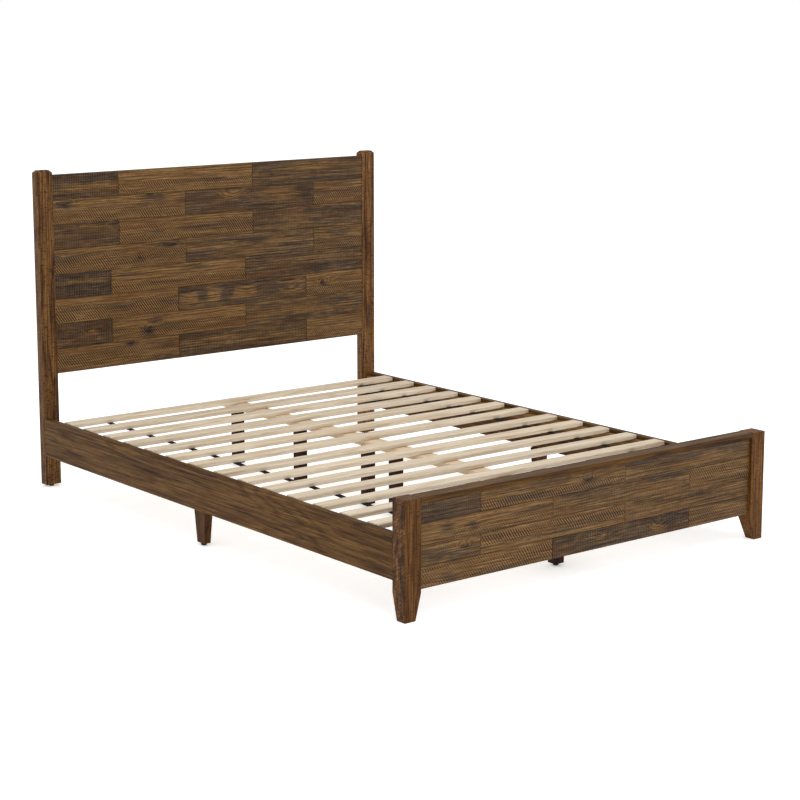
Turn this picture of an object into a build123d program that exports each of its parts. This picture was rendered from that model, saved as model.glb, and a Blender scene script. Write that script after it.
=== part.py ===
"""Plank-panelled wooden platform bed frame for a 1372 x 1905 mm mattress.

Frame of reference: millimetres, +Z up, origin on the floor under the middle of the bed.
+Y runs towards the headboard, +X towards the right-hand side rail seen from the footboard.
Every wooden, steel and plastic piece is a separate solid in its own STEP file.
"""
import os

from build123d import *

os.makedirs("parts", exist_ok=True)

# ---------------------------------------------------------------- overall size
overall_width = 1435.0
overall_length = 2020.0
headboard_height = 1094.0
footboard_height = 343.0

# ---------------------------------------------------------------- headboard
post_width = 58.0
post_depth = 37.0
post_top_chamfer = 9.0
head_panel_bottom = 393.5
head_row_height = 85.4
head_rows = 8
head_plank_thickness = 20.0
head_panel_recess = 2.5

# ---------------------------------------------------------------- footboard
leg_width = 58.0
leg_depth = 56.0
leg_taper = 21.0
foot_panel_bottom = 82.5
foot_row_height = 61.4
foot_rows = 4
foot_plank_thickness = 18.0
foot_panel_recess = 11.5
cap_depth = 51.0
cap_thickness = 15.0
cap_tenon_length = 8.0
cap_tenon_depth = 35.0
cap_tenon_thickness = 7.0

# ---------------------------------------------------------------- plank joints
plank_length = 562.0
first_joint_x = -438.0          # outer butt joint of odd rows
second_joint_x = -165.0         # outer butt joint of even rows
upper_panel_shift = 36.0        # the upper half of the headboard is shifted by this much
butt_gap = 0.4
row_gap = 0.3
plank_edge_chamfer = 0.8
tongue_height = 7.0
tongue_thickness = 6.0
tongue_clearance = 0.25
housing_depth = 8.0             # how far plank ends sit in the posts and legs
housing_clearance = 0.2

# ---------------------------------------------------------------- battens behind the panels
batten_width = 60.0
batten_thickness = 12.0
batten_end_margin = 15.0
batten_offsets = (-530.0, -210.0, 210.0, 530.0)

# ---------------------------------------------------------------- side rails and slat cleats
rail_thickness = 23.0
rail_bottom = 110.0
rail_top = 241.0
cleat_thickness = 20.0
cleat_height = 24.0
cleat_end_gap = 6.0
cleat_screws = 7

# ---------------------------------------------------------------- slats and their webbing
slats_per_roll = 7
slat_length = 1386.0
slat_width = 50.0
slat_thickness = 15.0
slat_top = 243.5
slat_edge_radius = 4.0
slat_end_chamfer = 1.0
slat_pitch = 128.5
roll_pitch = 148.0              # between the two slats that face each other across the middle
support_gap = 0.2
strap_x = 542.0
strap_width = 22.0
strap_thickness = 1.2
strap_gap = 0.1
strap_tail = 48.0
strap_end_margin = 6.0

# ---------------------------------------------------------------- centre beam and support legs
beam_width = 60.0
beam_thickness = 19.0
beam_length = 920.0
beam_split_gap = 0.6
centre_leg_size = 35.0
centre_leg_offsets = (75.0, 460.0, 845.0)
joining_plate_length = 100.0
joining_plate_width = 40.0
joining_plate_thickness = 3.0
joining_plate_corner_radius = 6.0
joining_plate_screw_offsets = (10.0, 35.0)      # from the plate's middle, across and along
rail_leg_centre_x = 700.0
rail_leg_top = (28.0, 62.0)
rail_leg_foot = (24.0, 40.0)
hanger_bolt_radius = 4.0
hanger_bolt_in_leg = 35.0
hanger_bolt_in_beam = 17.0
hanger_bolt_in_rail = 30.0

# ---------------------------------------------------------------- screw-in levelling feet
foot_gap_to_floor = 8.0         # underside of the wood above the floor
leveller_pad_radius = 9.0
leveller_pad_height = 7.2
leveller_pad_edge = 1.5
leveller_stem_radius = 4.0
leveller_stem_top = 38.0
leveller_bore_clearance = 0.3
leveller_bore_spare = 4.0

# ---------------------------------------------------------------- steel fasteners
bracket_leaf_on_rail = 60.0
bracket_leaf_on_post = 32.0
bracket_thickness = 3.0
bracket_low = 125.0
bracket_high = 195.0
bolt_radius = 3.0
bolt_length = 18.0
bolt_head_radius = 6.0
bolt_head_height = 3.5
bolt_socket_radius = 2.0
bolt_socket_depth = 2.0
bolt_from_corner_on_rail = 40.0
bolt_from_corner_on_post = 21.0
bolt_end_margin = 15.0
screw_radius = 2.0
screw_head_radius = 4.0
screw_head_height = 2.0
screw_head_taper = 45.0
batten_screw_length = 25.0
cleat_screw_length = 34.0
plate_screw_length = 16.0
hole_clearance = 0.1
hole_spare_depth = 1.0

# ---------------------------------------------------------------- general finish
edge_radius = 1.5
small_edge = 0.8

# ---------------------------------------------------------------- places worked out from the above
half_width = overall_width / 2
head_back_y = overall_length / 2
foot_front_y = -overall_length / 2
post_front_y = head_back_y - post_depth
leg_back_y = foot_front_y + leg_depth
deck_middle_y = (post_front_y + leg_back_y) / 2
post_centre_x = half_width - post_width / 2
post_centre_y = head_back_y - post_depth / 2
post_inner_x = half_width - post_width
leg_inner_x = half_width - leg_width
head_panel_top = head_panel_bottom + head_rows * head_row_height
head_plank_front_y = post_front_y + head_panel_recess
head_plank_back_y = head_plank_front_y + head_plank_thickness
foot_panel_top = footboard_height - cap_thickness
foot_plank_front_y = foot_front_y + foot_panel_recess
foot_plank_back_y = foot_plank_front_y + foot_plank_thickness
rail_inner_x = half_width - rail_thickness
rail_centre_x = half_width - rail_thickness / 2
support_top = slat_top - slat_thickness - support_gap
beam_bottom = support_top - beam_thickness
cleat_bottom = support_top - cleat_height
cleat_inner_x = rail_inner_x - cleat_thickness
rail_length = post_front_y - leg_back_y


def keep(piece, name):
    """Label a finished piece and write it to its own STEP file."""
    piece.part.label = name
    export_step(piece.part, f"parts/{name}.step")


def side_name(side):
    return "left" if side < 0 else "right"


def down_plane(x, y, z):
    """A plane at a point whose normal points down, for holes drilled upwards."""
    return Plane(origin=(x, y, z), x_dir=(1, 0, 0), z_dir=(0, 0, -1))


def back_plane(x, y, z):
    """A plane at a point whose normal points to +Y, for holes drilled towards the footboard."""
    return Plane(origin=(x, y, z), x_dir=(1, 0, 0), z_dir=(0, 1, 0))


def inward_plane(side, x, y, z):
    """A plane on a side rail's inner face whose normal points to the middle of the bed."""
    return Plane(origin=(side * x, y, z), x_dir=(0, 1, 0), z_dir=(-side, 0, 0))


# ---------------------------------------------------------------- fastener positions
def row_middles(bottom, row_height, rows):
    return [bottom + (row + 0.5) * row_height for row in range(rows)]


def batten_screw_planes(back_y, bottom, row_height, rows):
    """One screw per batten and plank row, seated flush in the batten's back."""
    seat_y = back_y + batten_thickness
    middles = row_middles(bottom, row_height, rows)
    return [back_plane(x, seat_y, z) for x in batten_offsets for z in middles]


head_screw_planes = batten_screw_planes(
    head_plank_back_y, head_panel_bottom, head_row_height, head_rows)
foot_screw_planes = batten_screw_planes(
    foot_plank_back_y, foot_panel_bottom, foot_row_height, foot_rows)


def cleat_screw_planes(side):
    """Cleat screws, evenly spaced along the rail and seated in the cleat's inner face."""
    spacing = rail_length / cleat_screws
    first_y = leg_back_y + spacing / 2
    middle_z = support_top - cleat_height / 2
    places = [first_y + number * spacing for number in range(cleat_screws)]
    return [inward_plane(side, cleat_inner_x, y, middle_z) for y in places]


def plate_screw_planes():
    """Four screws that go up through the joining plate, two into each half of the beam."""
    seat_z = beam_bottom - joining_plate_thickness
    x, y = joining_plate_screw_offsets
    places = [(i * x, deck_middle_y + j * y) for i in (-1, 1) for j in (-1, 1)]
    return [down_plane(*place, seat_z) for place in places]


def bracket_bolt_heights():
    return (bracket_low + bolt_end_margin, bracket_high - bolt_end_margin)


def rail_bolt_planes(side, corner_y, into_bed):
    """Bolts through the leaf on the rail; into_bed is +1 at the footboard, -1 at the headboard."""
    y = corner_y + into_bed * bolt_from_corner_on_rail
    x = rail_inner_x - bracket_thickness
    return [inward_plane(side, x, y, z) for z in bracket_bolt_heights()]


def post_bolt_planes(side, corner_y, into_bed):
    """Bolts through the leaf on the post or leg at that corner."""
    x = side * (rail_inner_x - bolt_from_corner_on_post)
    y = corner_y + into_bed * bracket_thickness
    normal = (0, into_bed, 0)
    heights = bracket_bolt_heights()
    return [Plane(origin=(x, y, z), x_dir=(1, 0, 0), z_dir=normal) for z in heights]


def corner_bolt_planes(side, at_head):
    corner_y = post_front_y if at_head else leg_back_y
    into_bed = -1 if at_head else 1
    on_rail = rail_bolt_planes(side, corner_y, into_bed)
    on_post = post_bolt_planes(side, corner_y, into_bed)
    return on_rail, on_post


def centre_leg_places():
    """(x, y) of the six centre legs, from the footboard end to the headboard end."""
    offsets = [-offset for offset in reversed(centre_leg_offsets)] + list(centre_leg_offsets)
    return [(0.0, deck_middle_y + offset) for offset in offsets]


def leveller_bore(x, y, bottom):
    """Blind bore for a levelling foot's threaded stem, drilled up from a leg's underside."""
    depth = leveller_stem_top + leveller_bore_spare - bottom
    with Locations(down_plane(x, y, bottom)):
        Hole(leveller_stem_radius + leveller_bore_clearance, depth)


# ---------------------------------------------------------------- headboard posts
def make_headboard_post(side):
    _, on_post = corner_bolt_planes(side, at_head=True)
    with BuildPart() as post:
        with BuildSketch(Plane.XY.offset(foot_gap_to_floor)):
            with Locations((side * post_centre_x, post_centre_y)):
                Rectangle(post_width, post_depth)
        extrude(amount=headboard_height - foot_gap_to_floor)
        chamfer(post.faces().sort_by(Axis.Z)[-1].edges(), post_top_chamfer)
        chamfer(post.edges().filter_by(Axis.Z), edge_radius)
        with BuildSketch(Plane.XY.offset(head_panel_bottom - housing_clearance)):
            with Locations((side * post_inner_x, head_plank_front_y + head_plank_thickness / 2)):
                Rectangle(2 * housing_depth, head_plank_thickness + 2 * housing_clearance)
        housing_height = head_panel_top - head_panel_bottom + 2 * housing_clearance
        extrude(amount=housing_height, mode=Mode.SUBTRACT)
        leveller_bore(side * post_centre_x, post_centre_y, foot_gap_to_floor)
        with Locations(*on_post):
            Hole(bolt_radius + hole_clearance, bolt_length + bracket_thickness)
    keep(post, f"headboard_post_{side_name(side)}")


# ---------------------------------------------------------------- plank rows
def plank_section(front_y, thickness, low, high, has_tongue, has_groove):
    """Outline of a plank in the YZ plane: a tongue above, a groove below, eased front edges."""
    edge = plank_edge_chamfer
    back_y = front_y + thickness
    middle_y = front_y + thickness / 2
    half_tongue = tongue_thickness / 2
    half_groove = half_tongue + tongue_clearance
    groove_top = low + tongue_height + tongue_clearance
    outline = [(front_y, low + edge), (front_y, high - edge), (front_y + edge, high)]
    if has_tongue:
        outline += [(middle_y - half_tongue, high), (middle_y - half_tongue, high + tongue_height)]
        outline += [(middle_y + half_tongue, high + tongue_height), (middle_y + half_tongue, high)]
    outline += [(back_y, high), (back_y, low)]
    if has_groove:
        outline += [(middle_y + half_groove, low), (middle_y + half_groove, groove_top)]
        outline += [(middle_y - half_groove, groove_top), (middle_y - half_groove, low)]
    outline += [(front_y + edge, low)]
    return outline


def make_plank_row(name, joints, half_span, section, screw_planes, screw_depth):
    """A row of boards butted end to end: one solid per board, with its screw holes."""
    ends = [-half_span, *joints, half_span]
    with BuildPart() as row:
        for left, right in zip(ends, ends[1:]):
            with BuildSketch(Plane.YZ.offset(left + butt_gap / 2)):
                with BuildLine():
                    Polyline(*section, close=True)
                make_face()
            extrude(amount=right - left - butt_gap)
        with Locations(*screw_planes):
            Hole(screw_radius + hole_clearance, screw_depth)
    keep(row, name)


def row_joints(row, shift):
    """Butt joints of a row, counted from the top; odd and even rows are staggered."""
    first = first_joint_x if row % 2 == 0 else second_joint_x
    return [first + shift, first + shift + plank_length]


def make_panel_rows(prefix, rows, row_height, bottom, front_y, thickness, half_span, planes):
    for row in range(rows):
        low = bottom + (rows - 1 - row) * row_height
        high = low + row_height - row_gap
        in_upper_half = rows > foot_rows and row < rows // 2
        joints = row_joints(row, upper_panel_shift if in_upper_half else 0.0)
        section = plank_section(front_y, thickness, low, high, row > 0, row < rows - 1)
        row_planes = [plane for plane in planes if low < plane.origin.Z < high]
        name = f"{prefix}_plank_row_{row + 1}"
        make_plank_row(name, joints, half_span, section, row_planes, batten_screw_length)


# ---------------------------------------------------------------- battens
def make_battens(name, low, high, front_y, screw_planes):
    """Upright battens that tie the plank rows together from behind."""
    with BuildPart() as battens:
        with BuildSketch(Plane.XY.offset(low)):
            with Locations(*[(x, front_y + batten_thickness / 2) for x in batten_offsets]):
                Rectangle(batten_width, batten_thickness)
        extrude(amount=high - low)
        back_edges = battens.faces().filter_by(Axis.Y).group_by(Axis.Y)[-1].edges()
        chamfer(back_edges, small_edge)
        with Locations(*screw_planes):
            CounterSinkHole(screw_radius + hole_clearance, screw_head_radius + hole_clearance)
    keep(battens, name)


# ---------------------------------------------------------------- footboard
def make_footboard_leg(side):
    """A leg whose inner and back faces taper below the panel; its outer faces stay upright."""
    _, on_post = corner_bolt_planes(side, at_head=False)
    outer = (side * half_width, foot_front_y)
    outer_align = (Align.MAX if side > 0 else Align.MIN, Align.MIN)
    with BuildPart() as leg:
        with BuildSketch(Plane.XY):
            with Locations(outer):
                Rectangle(leg_width - leg_taper, leg_depth - leg_taper, align=outer_align)
        with BuildSketch(Plane.XY.offset(foot_panel_bottom)):
            with Locations(outer):
                Rectangle(leg_width, leg_depth, align=outer_align)
        loft()
        with BuildSketch(Plane.XY.offset(foot_panel_bottom)):
            with Locations(outer):
                Rectangle(leg_width, leg_depth, align=outer_align)
        extrude(amount=footboard_height - foot_panel_bottom)
        upright_edges = leg.edges().filter_by(Axis.Z)
        chamfer(upright_edges, edge_radius)
        chamfer(leg.faces().sort_by(Axis.Z)[-1].edges(), edge_radius)
        with BuildSketch(Plane.XY.offset(foot_panel_bottom - housing_clearance)):
            with Locations((side * leg_inner_x, foot_plank_front_y + foot_plank_thickness / 2)):
                Rectangle(2 * housing_depth, foot_plank_thickness + 2 * housing_clearance)
        panel_height = foot_panel_top - foot_panel_bottom
        extrude(amount=panel_height + housing_clearance, mode=Mode.SUBTRACT)
        mortise_middle = (side * leg_inner_x, foot_front_y + cap_depth / 2)
        mortise_bottom = footboard_height - (cap_thickness + cap_tenon_thickness) / 2
        with BuildSketch(Plane.XY.offset(mortise_bottom - housing_clearance)):
            with Locations(mortise_middle):
                mortise_depth = cap_tenon_depth + 2 * housing_clearance
                Rectangle(2 * (cap_tenon_length + housing_clearance), mortise_depth)
        extrude(amount=cap_tenon_thickness + 2 * housing_clearance, mode=Mode.SUBTRACT)
        with Locations(*on_post):
            Hole(bolt_radius + hole_clearance, bolt_length + bracket_thickness)
    keep(leg, f"footboard_leg_{side_name(side)}")


def make_footboard_cap_rail():
    middle_y = foot_front_y + cap_depth / 2
    middle_z = footboard_height - cap_thickness / 2
    with BuildPart() as cap:
        with Locations((0, middle_y, middle_z)):
            Box(2 * leg_inner_x, cap_depth, cap_thickness)
        chamfer(cap.edges().filter_by(Axis.X), edge_radius)
        with Locations((0, middle_y, middle_z)):
            Box(2 * (leg_inner_x + cap_tenon_length), cap_tenon_depth, cap_tenon_thickness)
    keep(cap, "footboard_cap_rail")


# ---------------------------------------------------------------- side rails and cleats
def make_side_rail(side):
    head_rail_planes, _ = corner_bolt_planes(side, at_head=True)
    foot_rail_planes, _ = corner_bolt_planes(side, at_head=False)
    with BuildPart() as rail:
        with BuildSketch(Plane.XY.offset(rail_bottom)):
            with Locations((side * rail_centre_x, deck_middle_y)):
                Rectangle(rail_thickness, rail_length)
        extrude(amount=rail_top - rail_bottom)
        chamfer(rail.edges().filter_by(Axis.Y), edge_radius)
        with Locations(*head_rail_planes, *foot_rail_planes):
            Hole(bolt_radius + hole_clearance, bolt_length)
        with Locations(*cleat_screw_planes(side)):
            Hole(screw_radius + hole_clearance, cleat_screw_length + hole_spare_depth)
        with Locations(down_plane(side * rail_centre_x, deck_middle_y, rail_bottom)):
            Hole(hanger_bolt_radius + hole_clearance, hanger_bolt_in_rail + hole_spare_depth)
    keep(rail, f"side_rail_{side_name(side)}")


def make_slat_cleat(side):
    """Ledger screwed to the inside of the rail; the slat ends lie on it."""
    centre_x = side * (rail_inner_x - cleat_thickness / 2)
    with BuildPart() as cleat:
        with BuildSketch(Plane.XY.offset(cleat_bottom)):
            with Locations((centre_x, deck_middle_y)):
                Rectangle(cleat_thickness, rail_length - 2 * cleat_end_gap)
        extrude(amount=cleat_height)
        inner_face = cleat.faces().filter_by(Axis.X).sort_by(Axis.X)[0 if side > 0 else -1]
        chamfer(inner_face.edges().filter_by(Axis.Y), small_edge)
        with Locations(*cleat_screw_planes(side)):
            CounterSinkHole(screw_radius + hole_clearance, screw_head_radius + hole_clearance)
    keep(cleat, f"slat_cleat_{side_name(side)}")


# ---------------------------------------------------------------- centre beam
def make_beam_half(name, direction):
    """Half of the centre beam; direction is +1 towards the headboard, -1 to the footboard."""
    inner_y = deck_middle_y + direction * beam_split_gap / 2
    middle_y = inner_y + direction * (beam_length - beam_split_gap / 2) / 2
    leg_places = [(x, y) for x, y in centre_leg_places() if (y - deck_middle_y) * direction > 0]
    with BuildPart() as beam:
        with BuildSketch(Plane.XY.offset(beam_bottom)):
            with Locations((0, middle_y)):
                Rectangle(beam_width, beam_length - beam_split_gap / 2)
        extrude(amount=beam_thickness)
        fillet(beam.edges().filter_by(Axis.Y), edge_radius)
        with Locations(*[down_plane(x, y, beam_bottom) for x, y in leg_places]):
            Hole(hanger_bolt_radius + hole_clearance, hanger_bolt_in_beam)
        own_screws = [plane for plane in plate_screw_planes()
                      if (plane.origin.Y - deck_middle_y) * direction > 0]
        with Locations(*own_screws):
            Hole(screw_radius + hole_clearance, plate_screw_length)
    keep(beam, name)


def make_joining_plate():
    """Steel mending plate under the joint between the two halves of the centre beam."""
    with BuildPart() as plate:
        with BuildSketch(Plane.XY.offset(beam_bottom - joining_plate_thickness)):
            with Locations((0, deck_middle_y)):
                RectangleRounded(joining_plate_width, joining_plate_length, joining_plate_corner_radius)
        extrude(amount=joining_plate_thickness)
        with Locations(*plate_screw_planes()):
            CounterSinkHole(screw_radius + hole_clearance, screw_head_radius + hole_clearance)
    keep(plate, "centre_beam_joining_plate")


# ---------------------------------------------------------------- support legs
def make_centre_legs(name, places):
    """Square legs under one half of the centre beam, one solid each."""
    with BuildPart() as legs:
        with BuildSketch(Plane.XY.offset(foot_gap_to_floor)):
            with Locations(*places):
                RectangleRounded(centre_leg_size, centre_leg_size, edge_radius)
        extrude(amount=beam_bottom - foot_gap_to_floor)
        for x, y in places:
            leveller_bore(x, y, foot_gap_to_floor)
            with Locations(Plane(origin=(x, y, beam_bottom))):
                Hole(hanger_bolt_radius + hole_clearance, hanger_bolt_in_leg + hole_spare_depth)
    keep(legs, name)


def make_rail_leg(side):
    """Tapered leg under the middle of a side rail."""
    place = (side * rail_leg_centre_x, deck_middle_y)
    with BuildPart() as leg:
        with BuildSketch(Plane.XY.offset(foot_gap_to_floor)):
            with Locations(place):
                Rectangle(*rail_leg_foot)
        with BuildSketch(Plane.XY.offset(rail_bottom)):
            with Locations(place):
                Rectangle(*rail_leg_top)
        loft()
        side_edges = [edge for edge in leg.edges() if edge.bounding_box().size.Z > 1]
        chamfer(side_edges, small_edge)
        leveller_bore(*place, foot_gap_to_floor)
        with Locations(Plane(origin=(side * rail_centre_x, deck_middle_y, rail_bottom))):
            Hole(hanger_bolt_radius + hole_clearance, hanger_bolt_in_leg + hole_spare_depth)
    keep(leg, f"rail_leg_{side_name(side)}")


def make_hanger_bolts():
    """Studs that hold the eight support legs to the beam and the rails, one solid each."""
    with BuildPart() as bolts:
        with BuildSketch(Plane.XY.offset(beam_bottom - hanger_bolt_in_leg)):
            with Locations(*centre_leg_places()):
                Circle(hanger_bolt_radius)
        extrude(amount=hanger_bolt_in_leg + hanger_bolt_in_beam - hole_spare_depth)
        with BuildSketch(Plane.XY.offset(rail_bottom - hanger_bolt_in_leg)):
            with Locations(*[(side * rail_centre_x, deck_middle_y) for side in (-1, 1)]):
                Circle(hanger_bolt_radius)
        extrude(amount=hanger_bolt_in_leg + hanger_bolt_in_rail)
    keep(bolts, "leg_hanger_bolts")


def make_leveller(name, x, y):
    """Plastic foot on a threaded stem; it screws down out of its leg to meet the floor."""
    radius = leveller_pad_radius
    edge = leveller_pad_edge
    with BuildPart() as leveller:
        with BuildSketch(Plane(origin=(x, y, 0), x_dir=(1, 0, 0), z_dir=(0, -1, 0))):
            with BuildLine():
                Polyline(
                    (0, 0), (radius - edge, 0), (radius, edge), (radius, leveller_pad_height - edge),
                    (radius - edge, leveller_pad_height), (leveller_stem_radius, leveller_pad_height),
                    (leveller_stem_radius, leveller_stem_top - edge),
                    (leveller_stem_radius - edge, leveller_stem_top), (0, leveller_stem_top),
                    close=True)
            make_face()
        revolve(axis=Axis((x, y, 0), (0, 0, 1)))
    keep(leveller, name)


# ---------------------------------------------------------------- slats and webbing
def slat_places(direction):
    """Y of each slat in a roll, counted from the middle of the bed outwards."""
    first = deck_middle_y + direction * roll_pitch / 2
    return [first + direction * number * slat_pitch for number in range(slats_per_roll)]


def make_slat(name, y):
    """Pine slat with rounded long edges."""
    with BuildPart() as slat:
        with BuildSketch(Plane.YZ.offset(-slat_length / 2)):
            with Locations((y, slat_top - slat_thickness / 2)):
                RectangleRounded(slat_width, slat_thickness, slat_edge_radius)
        extrude(amount=slat_length)
        ends = slat.faces().filter_by(Axis.X)
        chamfer(ends.edges(), slat_end_chamfer)
    keep(slat, name)


def make_straps(name, direction):
    """Two webbing straps under one roll of slats, each with a tail into the middle gap."""
    places = slat_places(direction)
    outer_y = places[-1] + direction * (slat_width / 2 - strap_end_margin)
    inner_y = places[0] - direction * (slat_width / 2 + strap_tail)
    strap_top = slat_top - slat_thickness - strap_gap
    with BuildPart() as straps:
        with BuildSketch(Plane.XY.offset(strap_top - strap_thickness)):
            with Locations(*[(side * strap_x, (outer_y + inner_y) / 2) for side in (-1, 1)]):
                Rectangle(strap_width, abs(outer_y - inner_y))
        extrude(amount=strap_thickness)
    keep(straps, name)


# ---------------------------------------------------------------- steel hardware
def make_corner_brackets():
    """Four bent steel angles that join the side rails to the posts and legs."""
    with BuildPart() as brackets:
        for side in (-1, 1):
            for corner_y, into_bed in ((post_front_y, -1), (leg_back_y, 1)):
                corner = (side * rail_inner_x, corner_y)
                x_align = Align.MAX if side > 0 else Align.MIN
                y_align = Align.MAX if into_bed < 0 else Align.MIN
                with BuildSketch(Plane.XY.offset(bracket_low)):
                    with Locations(corner):
                        Rectangle(bracket_thickness, bracket_leaf_on_rail, align=(x_align, y_align))
                        Rectangle(bracket_leaf_on_post, bracket_thickness, align=(x_align, y_align))
                extrude(amount=bracket_high - bracket_low)
                on_rail, on_post = corner_bolt_planes(side, at_head=into_bed < 0)
                with Locations(*on_rail, *on_post):
                    Hole(bolt_radius + hole_clearance, bracket_thickness + hole_spare_depth)
    keep(brackets, "rail_corner_brackets")


def make_bracket_bolts():
    """Socket-head bolts of the corner brackets, one solid each."""
    with BuildPart() as bolts:
        for side in (-1, 1):
            for at_head in (True, False):
                on_rail, on_post = corner_bolt_planes(side, at_head)
                for plane in on_rail + on_post:
                    with BuildSketch(plane):
                        Circle(bolt_head_radius)
                    extrude(amount=bolt_head_height)
                    with BuildSketch(plane):
                        Circle(bolt_radius)
                    extrude(amount=-bolt_length)
                    with BuildSketch(plane.offset(bolt_head_height)):
                        RegularPolygon(bolt_socket_radius, 6)
                    extrude(amount=-bolt_socket_depth, mode=Mode.SUBTRACT)
    keep(bolts, "bracket_bolts")


def make_wood_screws():
    """All countersunk screws: battens to planks, cleats to rails, plate to beam."""
    sets = (
        (head_screw_planes + foot_screw_planes, batten_screw_length),
        (cleat_screw_planes(-1) + cleat_screw_planes(1), cleat_screw_length),
        (plate_screw_planes(), plate_screw_length),
    )
    with BuildPart() as screws:
        for planes, length in sets:
            with BuildSketch(*planes):
                Circle(screw_head_radius)
            extrude(amount=-screw_head_height, taper=screw_head_taper)
            with BuildSketch(*[plane.offset(-screw_head_height) for plane in planes]):
                Circle(screw_radius)
            extrude(amount=-(length - screw_head_height))
    keep(screws, "wood_screws")


# ---------------------------------------------------------------- build everything
for side in (-1, 1):
    make_headboard_post(side)
    make_footboard_leg(side)
    make_side_rail(side)
    make_slat_cleat(side)
    make_rail_leg(side)

make_panel_rows(
    "headboard", head_rows, head_row_height, head_panel_bottom, head_plank_front_y,
    head_plank_thickness, post_inner_x + housing_depth - housing_clearance, head_screw_planes)
make_panel_rows(
    "footboard", foot_rows, foot_row_height, foot_panel_bottom, foot_plank_front_y,
    foot_plank_thickness, leg_inner_x + housing_depth - housing_clearance, foot_screw_planes)
make_battens(
    "headboard_battens", head_panel_bottom + batten_end_margin, head_panel_top - batten_end_margin,
    head_plank_back_y, head_screw_planes)
make_battens(
    "footboard_battens", foot_panel_bottom + batten_end_margin, foot_panel_top,
    foot_plank_back_y, foot_screw_planes)
make_footboard_cap_rail()

make_beam_half("centre_beam_head_half", 1)
make_beam_half("centre_beam_foot_half", -1)
make_joining_plate()
make_centre_legs("centre_legs_foot_half", centre_leg_places()[:3])
make_centre_legs("centre_legs_head_half", centre_leg_places()[3:])
make_hanger_bolts()
make_corner_brackets()
make_bracket_bolts()
make_wood_screws()

for number, place in enumerate(centre_leg_places(), start=1):
    make_leveller(f"centre_leveller_{number}", *place)
for side in (-1, 1):
    make_leveller(f"rail_leveller_{side_name(side)}", side * rail_leg_centre_x, deck_middle_y)
    make_leveller(f"post_leveller_{side_name(side)}", side * post_centre_x, post_centre_y)

for roll, direction in (("head", 1), ("foot", -1)):
    make_straps(f"slat_straps_{roll}_roll", direction)
    for number, y in enumerate(slat_places(direction), start=1):
        make_slat(f"slat_{roll}_roll_{number}", y)
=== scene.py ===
"""Looks of the plank-panelled bed frame: camera, light, procedural wood and the finer pieces."""
import math
from typing import NamedTuple

import bpy
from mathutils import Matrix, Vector, noise


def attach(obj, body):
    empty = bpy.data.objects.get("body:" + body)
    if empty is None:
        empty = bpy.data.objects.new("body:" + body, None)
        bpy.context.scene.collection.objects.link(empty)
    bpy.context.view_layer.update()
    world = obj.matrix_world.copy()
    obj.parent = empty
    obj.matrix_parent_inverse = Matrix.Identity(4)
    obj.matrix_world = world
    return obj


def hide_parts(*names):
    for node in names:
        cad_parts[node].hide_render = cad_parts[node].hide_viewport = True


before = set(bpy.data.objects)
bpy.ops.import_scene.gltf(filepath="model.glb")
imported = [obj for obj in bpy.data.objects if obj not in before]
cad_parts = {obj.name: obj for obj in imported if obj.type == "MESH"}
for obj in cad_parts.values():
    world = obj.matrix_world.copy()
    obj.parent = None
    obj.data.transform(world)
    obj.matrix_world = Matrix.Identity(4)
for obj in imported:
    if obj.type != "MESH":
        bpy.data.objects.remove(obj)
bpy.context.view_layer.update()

MM = 0.001
SLAT_PITCH = 128.5


def srgb(red, green, blue):
    """Screen colour, 0 to 255, as the linear colour that shaders use."""
    def linear(value):
        value /= 255.0
        return value / 12.92 if value <= 0.04045 else ((value + 0.055) / 1.055) ** 2.4
    return (linear(red), linear(green), linear(blue), 1.0)


STUDIO_LIGHT = 1.15             # how much brighter than its base colour a surface shows
STUDIO_SHEEN = 0.014            # what the soft gloss adds to every colour


def seen(red, green, blue):
    """Base colour that shows as this screen colour under the studio light and its soft gloss."""
    *channels, alpha = srgb(red, green, blue)
    return (*[max((value - STUDIO_SHEEN) / STUDIO_LIGHT, 0.002) for value in channels], alpha)


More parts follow.
